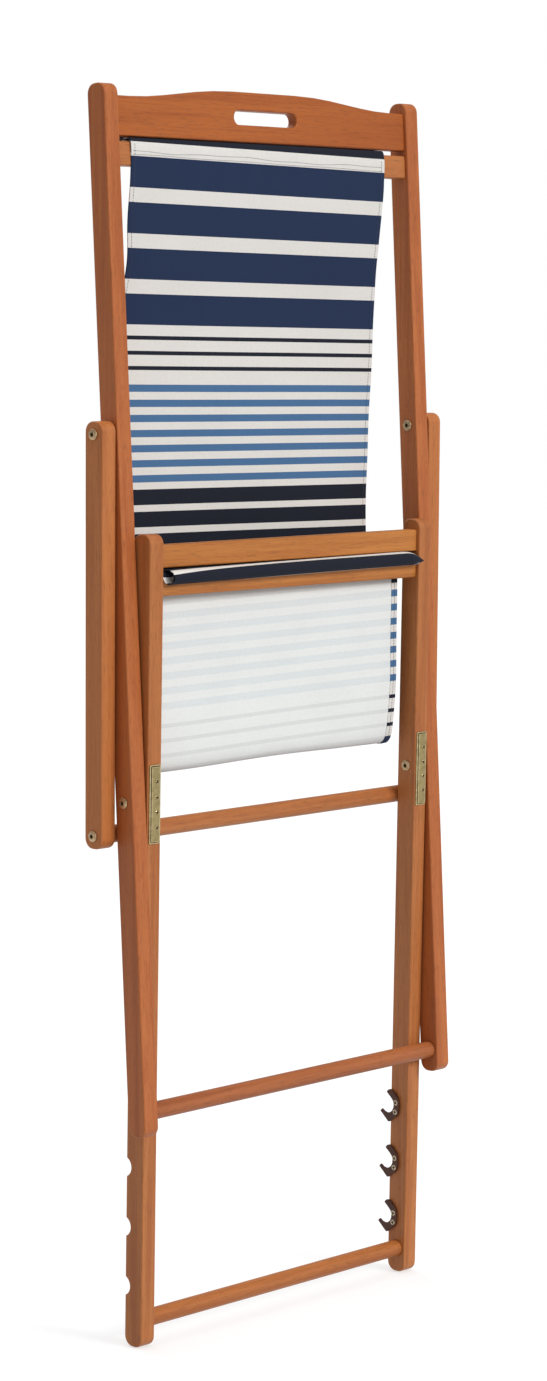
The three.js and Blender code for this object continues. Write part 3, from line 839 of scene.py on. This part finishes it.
def ripples(x, s):
    """Slight puckers under the head hem and a lazy unevenness between the two sleeves."""
    below_hem = np.exp(-np.clip(s - HEM_TOP, 0, 1) / 0.05) * (s > HEM_TOP)
    pucker = 0.00035 * below_hem * np.sin(x * 2 * math.pi / 0.043 + 1.3 * np.sin(x * 21))
    free = ramp(s, HEM_TOP + 0.03, 0.10) * (1 - ramp(s, SLIT_FRONT - 0.17, 0.08))
    lazy = 0.0011 * np.sin(x * 11 + s * 9) + 0.0006 * np.sin(x * 23 - s * 17 + 2)
    return pucker + free * lazy


def askew(x, s):
    """How much further along the route the cloth lies at x than at its middle: a little more at
    the right below the head hem, and pulled back at the knee end, most at the right."""
    slewed = 0.0140 * (x + 0.012) * ramp(s, HEM_TOP - 0.012, 0.010)
    pulled_back = 0.0035 + 0.0110 * (1 - np.exp((LEFT_EDGE - x) / 0.12))
    return slewed - pulled_back * ramp(s, SLIT_FRONT - 0.045, 0.030)


def knee_sleeve_shape(x, s, y, z):
    """The sleeve droops at its left end, rides up towards its right and tapers to a tip there."""
    share = sleeve_share(s)
    taper = ramp(x, 0.177, 0.0265)
    scale = 1 - 0.86 * share * taper**2
    droop = 0.0012 - 0.0070 * (x + 0.2)
    y = KNEE_ROD_AXIS.y + (y - KNEE_ROD_AXIS.y) * scale
    z = KNEE_ROD_AXIS.z + (z - KNEE_ROD_AXIS.z) * scale - share * droop * (1 - taper)
    return y, z


def place(x, s, out=0.0):
    """The point of the sling at x across and s along, raised by out from its printed side."""
    at = s + askew(x, s)
    step = 0.0008
    y, y0, y1 = (np.interp(at + d, LENGTHS, ROUTE[:, 0]) for d in (0, -step, step))
    z, z0, z1 = (np.interp(at + d, LENGTHS, ROUTE[:, 1]) for d in (0, -step, step))
    size = np.maximum(np.hypot(y1 - y0, z1 - z0), 1e-9)
    lift = out + ripples(x, s)
    y, z = y + (z1 - z0) / size * lift, z - (y1 - y0) / size * lift
    return x, *knee_sleeve_shape(x, s, y, z)


def rows_between(start, end, spacing=0.0032):
    """Distances along the sling, with one at every change of colour, closer in the tight bends."""
    stops = sorted({start, end, *(e for e, _ in EDGES if start < e < end)})
    rows = []
    for a, b in zip(stops, stops[1:]):
        at_an_end = b < HEM_TOP + 0.03 or a > SLIT_FRONT - 0.03
        tight = at_an_end or abs(a - LENGTHS[BOTTOM]) < 0.05
        count = max(1, math.ceil((b - a) / (0.0013 if tight else spacing)))
        rows += [a + (b - a) * i / count for i in range(count)]
    return rows + [end]


CLOTH_COLOURS = {"navy": NAVY, "chalk": CHALK, "sky": SKY, "ink": INK}
PRINTED = {name: canvas(f"canvas_{name}", colour) for name, colour in CLOTH_COLOURS.items()}
UNDERSIDE = {
    "navy": canvas("underside_navy", show_through(NAVY, 0.10)),
    "chalk": canvas("underside_chalk", show_through(CHALK, 0.10)),
    "sky": canvas("underside_sky", show_through(rgb(0.45, 0.55, 0.62), 0.22)),
    "ink": canvas("underside_ink", show_through(INK, 0.13)),
}
CLOTH_MATERIALS = list(PRINTED.values()) + list(UNDERSIDE.values())
COLOUR_NAMES = list(CLOTH_COLOURS)


def cloth_faces(rows, columns, both_printed):
    """The faces of a strip's two sides and its edges, and the number of each one's material."""
    faces, numbers = [], []
    layer = len(rows) * columns
    for i in range(len(rows) - 1):
        colour = COLOUR_NAMES.index(colour_at((rows[i] + rows[i + 1]) / 2))
        printed_inside = both_printed or rows[i] > SLIT_FRONT
        under = colour if printed_inside else colour + len(COLOUR_NAMES)
        for j in range(columns - 1):
            a = i * columns + j
            faces.append((a, a + columns, a + columns + 1, a + 1))
            faces.append((layer + a, layer + a + 1, layer + a + columns + 1, layer + a + columns))
            numbers += [colour, under]
        a, b = i * columns, (i + 1) * columns
        faces.append((a, layer + a, layer + b, b))
        a, b = a + columns - 1, b + columns - 1
        faces.append((a, b, layer + b, layer + a))
        numbers += [colour, colour]
    last = layer - columns
    for j in range(columns - 1):
        faces.append((j, j + 1, layer + j + 1, layer + j))
        faces.append((last + j + 1, last + j, layer + last + j, layer + last + j + 1))
        numbers += [COLOUR_NAMES.index("chalk")] * 2
    return faces, numbers


def cloth_strip(name, rows, across, low, high, both_printed=False):
    """A closed strip of cloth between two heights off the sling's middle, low and high.
    across(s) gives the x of each of its columns."""
    grid = [across(s) for s in rows]
    columns = len(grid[0])
    points, flat = [], []
    for out in (high, low):
        for s, xs in zip(rows, grid):
            x, y, z = place(xs, np.full(columns, s), out)
            points += list(zip(x, y, z))
            flat += [(float(v), s) for v in xs]
    faces, numbers = cloth_faces(rows, columns, both_printed)
    mesh = bpy.data.meshes.new(name)
    mesh.from_pydata(points, [], faces)
    piece = link(name, mesh, CLOTH_MATERIALS)
    mesh.polygons.foreach_set("material_index", numbers)
    mesh.polygons.foreach_set("use_smooth", [True] * len(faces))
    uv = mesh.uv_layers.new(name="flat")
    uv.data.foreach_set("uv", [c for loop in mesh.loops for c in flat[loop.vertex_index]])
    mesh.set_sharp_from_angle(angle=math.radians(60))
    return piece


# where the columns stand, as shares of the width, closer at the two edges
COLUMNS = np.unique(np.concatenate([
    np.linspace(0, 0.045, 8), np.linspace(0.045, 0.945, 58), np.linspace(0.945, 1, 12),
]))


def full_width(s):
    left, right = edges_at(s)
    return left + COLUMNS * (right - left)


HEM_WIDTH = 0.0095
HEM_INSET = 0.0001  # from the sling's edge to the hem's
HEM_GAP = 0.00005  # between the sling and the cloth turned over on it
HEM_CLOTH = 0.0006  # thickness of the cloth turned over
SEAM = 0.0050  # from the edge to the hem's stitching
STITCH = 0.0031  # from one stitch to the next


def hem_columns(sign):
    def across(s):
        left, right = edges_at(s)
        inner = np.linspace(0, 1, 5) * HEM_WIDTH
        return left + HEM_INSET + inner if sign < 0 else right - HEM_INSET - inner[::-1]
    return across


def bend_with_frames(piece):
    """The back layer was laid along the back frame and the seat layer along the seat frame; this only bakes the
    piece's placement into its mesh.
    """
    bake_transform(piece)


def make_sling():
    sling = cloth_strip("sling", rows_between(0.0, FLAT_LENGTH), full_width, -CLOTH / 2, CLOTH / 2)
    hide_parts("sling_back_panel", "sling_seat_panel")
    bend_with_frames(sling)
    hems = []
    hem_rows = rows_between(HEM_TOP + 0.017, SLIT_FRONT - 0.040)
    hem_top = -CLOTH / 2 - HEM_GAP
    for side, sign in SIDES:
        hem = cloth_strip(
            f"sling_hem_{side}", hem_rows, hem_columns(sign), hem_top - HEM_CLOTH, hem_top,
            both_printed=True,
        )
        bend_with_frames(hem)
        hems.append(hem)
    return sling, hems


# the bar of one stitch: how far along it, its height and its width, each as a share
STITCH_SHAPE = ((0, -0.3, 0.5), (0.18, 0.55, 1), (0.5, 0.75, 1), (0.82, 0.55, 1), (1, -0.3, 0.5))


def stitch_row(points, normals, thickness=0.00042):
    """Vertices and faces of one stitch after another, from point to point, each an arched bar."""
    vertices, faces = [], []
    for (a, b), n in zip(zip(points, points[1:]), normals):
        along = b - a
        start, end = a + along * 0.10, b - along * 0.10
        side = along.cross(n).normalized() * thickness / 2
        up = n * thickness
        base = len(vertices)
        for t, height, width in STITCH_SHAPE:
            p = start.lerp(end, t)
            top = p + up * height
            vertices += [top - side * width, top + up * 0.35 * width, top + side * width, p - up * 0.5]
        for i in range(4):
            for k in range(4):
                n2 = (k + 1) % 4
                c = base + i * 4
                faces.append((c + k, c + n2, c + 4 + n2, c + 4 + k))
        faces.append((base + 3, base + 2, base + 1, base))
        faces.append((base + 16, base + 17, base + 18, base + 19))
    return vertices, faces


def seam_line(xs, ss, out):
    """Points and outward directions of a seam that lies at xs across and ss along."""
    x, y, z = place(xs, ss, np.full(len(xs), out))
    _, y2, z2 = place(xs, ss, np.full(len(xs), out + math.copysign(0.001, out)))
    points = [Vector(p) for p in zip(x, y, z)]
    normals = [Vector((0, b, c)).normalized() for b, c in zip(y2 - y, z2 - z)]
    return points, normals


def side_seams():
    """The stitching along both edges, on the printed side and on the cloth turned over behind."""
    printed = np.arange(HEM_TOP + 0.002, SLIT_FRONT - 0.018, STITCH)
    turned_over = printed[(printed > HEM_TOP + 0.019) & (printed < SLIT_FRONT - 0.042)]
    behind = -CLOTH / 2 - HEM_GAP - HEM_CLOTH - 0.00005
    for edge, sign in enumerate((-1, 1)):
        for rows, out in ((printed, CLOTH / 2), (turned_over, behind)):
            yield seam_line(edges_at(rows)[edge] - sign * SEAM, rows, out)


def head_hem_seams():
    """Two rows of stitching across the head hem, the upper one sewn less straight."""
    left, right = edges_at(HEM_TOP)
    xs = np.arange(left + 0.002, right - 0.002, STITCH)
    wavy = HEM_TOP + 0.0098 + 0.0009 * np.sin(xs * 31) + 0.0005 * np.sin(xs * 83 + 1)
    straight = HEM_TOP + 0.0136 + 0.0003 * np.sin(xs * 47)
    for row in (wavy, straight):
        yield seam_line(xs, row, CLOTH / 2)


def make_stitching():
    vertices, faces = [], []
    for points, normals in (*side_seams(), *head_hem_seams()):
        v, f = stitch_row(points, normals)
        faces += [tuple(i + len(vertices) for i in face) for face in f]
        vertices += v
    stitches = mesh_from("sling_stitching", vertices, faces, [THREAD])
    stitches.data.polygons.foreach_set("use_smooth", [True] * len(stitches.data.polygons))
    bend_with_frames(stitches)
    return stitches


sling, hems = make_sling()
stitching = make_stitching()
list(hems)

# ---- floor and light ----


def make_floor():
    reach = 12
    corners = [(-reach, -reach, 0), (reach, -reach, 0), (reach, reach, 0), (-reach, reach, 0)]
    mesh = bpy.data.meshes.new("floor")
    mesh.from_pydata(corners, [], [(0, 1, 2, 3)])
    graph, finish = new_material("floor_paper")
    place_of = graph.node("ShaderNodeTexCoord").outputs["Object"]
    speckle = graph.noise(place_of, 40, 3)
    base = graph.mix(speckle, rgb(0.50, 0.50, 0.50), rgb(0.52, 0.52, 0.52))
    paper = finish(
        base_color=base, roughness=0.9, specular_ior_level=0.0,
        emission_color=rgb(1, 1, 1), emission_strength=0.56,
    )
    floor = link("floor", mesh, [paper])
    floor.visible_diffuse = False
    floor.location.z = -0.0005


def soft_sun(name, comes_from, spread, strength, colour=(1, 1, 1)):
    """An even light from one direction, as soft as a lamp that fills spread degrees of the sky."""
    data = bpy.data.lights.new(name, "SUN")
    data.angle = math.radians(spread)
    data.energy = strength
    data.color = colour
    lamp = bpy.data.objects.new(name, data)
    lamp.rotation_euler = Vector(comes_from).to_track_quat("Z", "Y").to_euler()
    bpy.context.scene.collection.objects.link(lamp)


def make_world():
    """A white surround for the eye and a softer light on the chair."""
    world = bpy.data.worlds.new("studio")
    world.use_nodes = True
    world.node_tree.nodes.clear()
    graph = Graph(world.node_tree)
    seen = graph.node("ShaderNodeBackground", {"Color": rgb(1, 1, 1), "Strength": 1.0})
    felt = graph.node("ShaderNodeBackground", {"Color": rgb(0.97, 0.98, 1), "Strength": 0.47})
    eye = graph.node("ShaderNodeLightPath").outputs["Is Camera Ray"]
    mixed = graph.node("ShaderNodeMixShader", {0: eye, 1: felt.outputs[0], 2: seen.outputs[0]})
    graph.node("ShaderNodeOutputWorld", {"Surface": mixed.outputs[0]})
    bpy.context.scene.world = world


make_floor()
make_world()
soft_sun("key", (0.25, -1.0, 0.5), 24, 1.85, (1.0, 0.985, 0.96))
soft_sun("overhead", (0.0, 0.1, 1.0), 60, 0.7)
soft_sun("rear", (0.2, 1.0, 0.6), 30, 0.6)
bpy.context.scene.view_settings.view_transform = "Standard"
